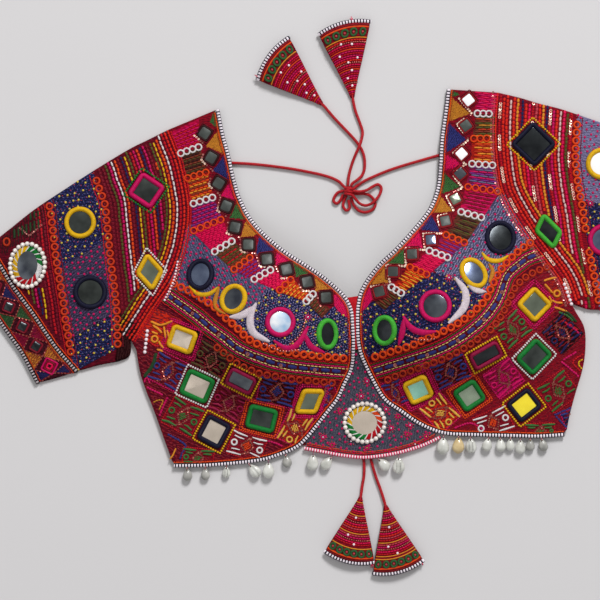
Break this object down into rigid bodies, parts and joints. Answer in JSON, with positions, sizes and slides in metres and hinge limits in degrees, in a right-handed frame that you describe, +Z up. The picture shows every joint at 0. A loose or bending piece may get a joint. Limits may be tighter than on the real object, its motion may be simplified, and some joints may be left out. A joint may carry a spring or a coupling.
{
  "type": "choli blouse",
  "caption": "Short embroidered choli blouse laid flat: cupped front panels, centre gusset, short sleeves, corded edges, cowrie hem, and red back ties with cone tassels.",
  "frame": {"origin": "centre of the blouse's plan, without its ties and tassels, on the surface that it lies on", "axes": "+X from the left cuff to the right cuff as the front is seen, +Y from the hem to the shoulders, +Z up from the surface"},
  "size_m": [0.7729, 0.552, 0.05],
  "materials": {
    "front": "embroidered",
    "gusset": "embroidered",
    "back": "plain",
    "sleeve": "embroidered",
    "cuff": "embroidered",
    "piping": "striped",
    "mirror": "polished",
    "shell": "glossy shell",
    "tie": "cord",
    "latkan": "embroidered"
  },
  "bodies": {
    "root": {"back_left": "back", "back_right": "back", "cowrie_01": "shell", "cowrie_02": "shell", "cowrie_03": "shell", "cowrie_04": "shell", "cowrie_05": "shell", "cowrie_06": "shell", "cowrie_07": "shell", "cowrie_08": "shell", "cowrie_09": "shell", "cowrie_10": "shell", "cowrie_11": "shell", "cowrie_12": "shell", "cowrie_13": "shell", "cowrie_14": "shell", "cowrie_15": "shell", "cowrie_16": "shell", "cowrie_17": "shell", "cowrie_18": "shell", "cowrie_19": "shell", "cuff_edge_piping_left": "piping", "cuff_edge_piping_right": "piping", "cuff_left": "cuff", "cuff_right": "cuff", "cuff_seam_piping_left": "piping", "cuff_seam_piping_right": "piping", "front_gusset": "gusset", "front_left": "front", "front_piping_left": "piping", "front_piping_right": "piping", "front_right": "front", "gusset_piping": "piping", "hem_tie_left": "tie", "hem_tie_right": "tie", "latkan_hem_left": "latkan", "latkan_hem_right": "latkan", "latkan_top_left": "latkan", "latkan_top_right": "latkan", "sleeve_left": "sleeve", "sleeve_right": "sleeve", "tie_knot": "tie", "tie_left": "tie", "tie_loop_1": "tie", "tie_loop_2": "tie", "tie_loop_3": "tie", "tie_loop_4": "tie", "tie_right": "tie", "tie_tail_left": "tie", "tie_tail_right": "tie"}
  },
  "joints": []
}
